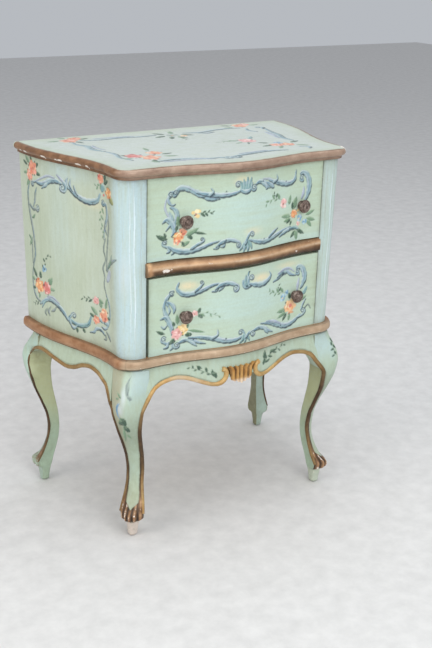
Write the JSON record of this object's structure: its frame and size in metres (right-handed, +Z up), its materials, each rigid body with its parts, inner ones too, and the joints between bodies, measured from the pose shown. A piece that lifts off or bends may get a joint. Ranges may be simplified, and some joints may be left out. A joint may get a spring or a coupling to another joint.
{
  "type": "nightstand",
  "caption": "Serpentine bedside chest with bowed drawers that slide out, scalloped aprons and cabriole legs, in aged green paint with gilt mouldings.",
  "frame": {"origin": "on the floor, under the middle of the overall box", "axes": "+Z up, +X to the right seen from the front, -Y out of the drawer fronts"},
  "size_m": [0.5834, 0.336, 0.68],
  "materials": {
    "green_paint": "aged pale green paint, satin",
    "gilding": "worn bronze-brown gilding on wood",
    "bronze": "dark patinated turned knob",
    "bare_wood": "bare softwood, aged",
    "steel": "dull steel screws"
  },
  "bodies": {
    "carcass": {"top_board": "green_paint", "left_side_panel": "green_paint", "right_side_panel": "green_paint", "back_panel": "bare_wood", "front_left_post": "green_paint", "front_right_post": "green_paint", "rear_left_stile": "bare_wood", "rear_right_stile": "bare_wood", "case_bottom": "bare_wood", "divider_rail": "bare_wood", "divider_bead": "gilding", "upper_left_runner": "bare_wood", "upper_right_runner": "bare_wood", "lower_left_runner": "bare_wood", "lower_right_runner": "bare_wood", "top_left_cleat": "bare_wood", "top_right_cleat": "bare_wood", "top_screw_1": "steel", "top_screw_2": "steel", "top_screw_3": "steel", "top_screw_4": "steel", "base_moulding_front": "gilding", "base_moulding_left": "gilding", "base_moulding_right": "gilding", "front_left_leg": "green_paint", "front_right_leg": "green_paint", "rear_left_leg": "green_paint", "rear_right_leg": "green_paint", "front_apron": "green_paint", "left_apron": "green_paint", "right_apron": "green_paint", "back_apron": "bare_wood", "apron_shell": "gilding", "front_left_block": "bare_wood", "front_right_block": "bare_wood", "rear_left_block": "bare_wood", "rear_right_block": "bare_wood"},
    "upper_drawer": {"upper_drawer_front": "green_paint", "upper_drawer_left_side": "bare_wood", "upper_drawer_right_side": "bare_wood", "upper_drawer_back": "bare_wood", "upper_drawer_bottom": "bare_wood", "upper_drawer_left_knob": "bronze", "upper_drawer_right_knob": "bronze", "upper_drawer_left_knob_screw": "steel", "upper_drawer_right_knob_screw": "steel"},
    "lower_drawer": {"lower_drawer_front": "green_paint", "lower_drawer_left_side": "bare_wood", "lower_drawer_right_side": "bare_wood", "lower_drawer_back": "bare_wood", "lower_drawer_bottom": "bare_wood", "lower_drawer_left_knob": "bronze", "lower_drawer_right_knob": "bronze", "lower_drawer_left_knob_screw": "steel", "lower_drawer_right_knob_screw": "steel"}
  },
  "joints": [
    {"name": "upper_drawer_slide", "type": "slide", "parent": "carcass", "child": "upper_drawer", "axis": [0, -1, 0], "range_m": [0, 0.2]},
    {"name": "lower_drawer_slide", "type": "slide", "parent": "carcass", "child": "lower_drawer", "axis": [0, -1, 0], "range_m": [0, 0.2]}
  ]
}
